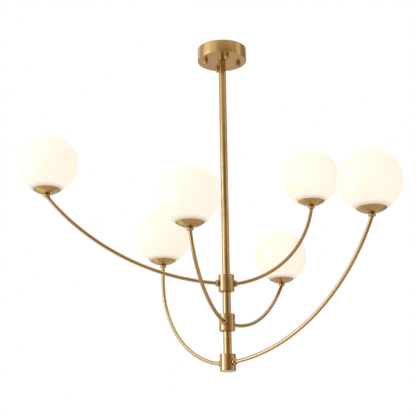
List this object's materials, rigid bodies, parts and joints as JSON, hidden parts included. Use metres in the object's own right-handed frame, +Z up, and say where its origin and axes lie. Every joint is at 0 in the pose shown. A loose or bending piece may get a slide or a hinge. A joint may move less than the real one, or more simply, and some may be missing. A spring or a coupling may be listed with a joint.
{
  "type": "branch chandelier",
  "caption": "Branch chandelier in brushed brass: hubs swivel on a ceiling stem, each with a long and a short bent arm ending in a dish that holds a screw-on opal glass globe.",
  "frame": {"origin": "middle of the ceiling plate, on its upper face, which lies against the ceiling", "axes": "+Z points up out of the ceiling face, so the lamp hangs below the origin; the two ceiling screw slots lie along X; -Y is the side seen in the picture"},
  "size_m": [0.9239, 0.8849, 0.862],
  "materials": {
    "satin_brass": "brushed, satin",
    "zinc_steel": "zinc plated",
    "pale_steel": "satin nickel",
    "opal_glass": "opal, glossy",
    "lamp_glass": "frosted",
    "white_ceramic": "glazed",
    "silicone": "soft, matte",
    "white_nylon": "moulded",
    "splice_nylon": "moulded",
    "wire_sleeve": "drawn sleeve"
  },
  "bodies": {
    "stem": {"ceiling_plate": "zinc_steel", "canopy_studs": "zinc_steel", "canopy_washer": "zinc_steel", "canopy_locknut": "zinc_steel", "centre_tube": "zinc_steel", "canopy": "satin_brass", "ball_nuts": "satin_brass", "stem_tube": "satin_brass", "upper_spacer": "satin_brass", "lower_spacer": "satin_brass", "end_nut": "pale_steel", "terminal_block": "white_nylon", "supply_harness": "wire_sleeve", "lead_splices": "splice_nylon"},
    "hub_top": {"hub_top_shell": "satin_brass", "hub_top_floor": "satin_brass", "hub_top_arm_nuts": "zinc_steel", "arm_top_long": "satin_brass", "arm_top_short": "satin_brass", "hub_top_arm_collars": "satin_brass", "hub_top_lamp_collars": "satin_brass", "hub_top_dishes": "satin_brass", "hub_top_lampholders": "white_ceramic", "hub_top_bulbs": "lamp_glass", "hub_top_leads": "wire_sleeve"},
    "hub_middle": {"hub_middle_shell": "satin_brass", "hub_middle_floor": "satin_brass", "hub_middle_arm_nuts": "zinc_steel", "arm_middle_long": "satin_brass", "arm_middle_short": "satin_brass", "hub_middle_arm_collars": "satin_brass", "hub_middle_lamp_collars": "satin_brass", "hub_middle_dishes": "satin_brass", "hub_middle_lampholders": "white_ceramic", "hub_middle_bulbs": "lamp_glass", "hub_middle_leads": "wire_sleeve"},
    "hub_bottom": {"hub_bottom_shell": "satin_brass", "hub_bottom_floor": "satin_brass", "hub_bottom_arm_nuts": "zinc_steel", "arm_bottom_long": "satin_brass", "arm_bottom_short": "satin_brass", "hub_bottom_arm_collars": "satin_brass", "hub_bottom_lamp_collars": "satin_brass", "hub_bottom_dishes": "satin_brass", "hub_bottom_lampholders": "white_ceramic", "hub_bottom_bulbs": "lamp_glass", "hub_bottom_leads": "wire_sleeve"},
    "seal_top_long": {"seal_top_long": "silicone"},
    "globe_top_long": {"globe_top_long": "opal_glass"},
    "seal_top_short": {"seal_top_short": "silicone"},
    "globe_top_short": {"globe_top_short": "opal_glass"},
    "seal_middle_long": {"seal_middle_long": "silicone"},
    "globe_middle_long": {"globe_middle_long": "opal_glass"},
    "seal_middle_short": {"seal_middle_short": "silicone"},
    "globe_middle_short": {"globe_middle_short": "opal_glass"},
    "seal_bottom_long": {"seal_bottom_long": "silicone"},
    "globe_bottom_long": {"globe_bottom_long": "opal_glass"},
    "seal_bottom_short": {"seal_bottom_short": "silicone"},
    "globe_bottom_short": {"globe_bottom_short": "opal_glass"}
  },
  "joints": [
    {"name": "swivel_top", "type": "hinge", "parent": "stem", "child": "hub_top", "pos_m": [0, 0, -0.641], "axis": [0, 0, 1], "range_deg": [-25, 25]},
    {"name": "swivel_middle", "type": "hinge", "parent": "stem", "child": "hub_middle", "pos_m": [0, 0, -0.741], "axis": [0, 0, 1], "range_deg": [-25, 25]},
    {"name": "swivel_bottom", "type": "hinge", "parent": "stem", "child": "hub_bottom", "pos_m": [0, 0, -0.841], "axis": [0, 0, 1], "range_deg": [-25, 25]},
    {"name": "lift_top_long", "type": "slide", "parent": "hub_top", "child": "seal_top_long", "axis": [0, 0, 1], "range_m": [0, 0.00901]},
    {"name": "turn_top_long", "type": "hinge", "parent": "seal_top_long", "child": "globe_top_long", "pos_m": [-0.44307, -0.09904, -0.34805], "axis": [0, 0, 1], "range_deg": [0, 1080]},
    {"name": "lift_top_short", "type": "slide", "parent": "hub_top", "child": "seal_top_short", "axis": [0, 0, 1], "range_m": [0, 0.00901]},
    {"name": "turn_top_short", "type": "hinge", "parent": "seal_top_short", "child": "globe_top_short", "pos_m": [0.22641, 0.05061, -0.34805], "axis": [0, 0, 1], "range_deg": [0, 1080]},
    {"name": "lift_middle_long", "type": "slide", "parent": "hub_middle", "child": "seal_middle_long", "axis": [0, 0, 1], "range_m": [0, 0.00901]},
    {"name": "turn_middle_long", "type": "hinge", "parent": "seal_middle_long", "child": "globe_middle_long", "pos_m": [0.16196, 0.42413, -0.47305], "axis": [0, 0, 1], "range_deg": [0, 1080]},
    {"name": "lift_middle_short", "type": "slide", "parent": "hub_middle", "child": "seal_middle_short", "axis": [0, 0, 1], "range_m": [0, 0.00901]},
    {"name": "turn_middle_short", "type": "hinge", "parent": "seal_middle_short", "child": "globe_middle_short", "pos_m": [-0.08276, -0.21674, -0.47305], "axis": [0, 0, 1], "range_deg": [0, 1080]},
    {"name": "lift_bottom_long", "type": "slide", "parent": "hub_bottom", "child": "seal_bottom_long", "axis": [0, 0, 1], "range_m": [0, 0.00901]},
    {"name": "turn_bottom_long", "type": "hinge", "parent": "seal_bottom_long", "child": "globe_bottom_long", "pos_m": [0.33095, -0.31078, -0.47405], "axis": [0, 0, 1], "range_deg": [0, 1080]},
    {"name": "lift_bottom_short", "type": "slide", "parent": "hub_bottom", "child": "seal_bottom_short", "axis": [0, 0, 1], "range_m": [0, 0.00901]},
    {"name": "turn_bottom_short", "type": "hinge", "parent": "seal_bottom_short", "child": "globe_bottom_short", "pos_m": [-0.16912, 0.15882, -0.47405], "axis": [0, 0, 1], "range_deg": [0, 1080]}
  ],
  "couplings": [
    {"joint": "lift_top_long", "follows": "turn_top_long", "m_per_rad": 0.00047746},
    {"joint": "lift_top_short", "follows": "turn_top_short", "m_per_rad": 0.00047746},
    {"joint": "lift_middle_long", "follows": "turn_middle_long", "m_per_rad": 0.00047746},
    {"joint": "lift_middle_short", "follows": "turn_middle_short", "m_per_rad": 0.00047746},
    {"joint": "lift_bottom_long", "follows": "turn_bottom_long", "m_per_rad": 0.00047746},
    {"joint": "lift_bottom_short", "follows": "turn_bottom_short", "m_per_rad": 0.00047746}
  ]
}
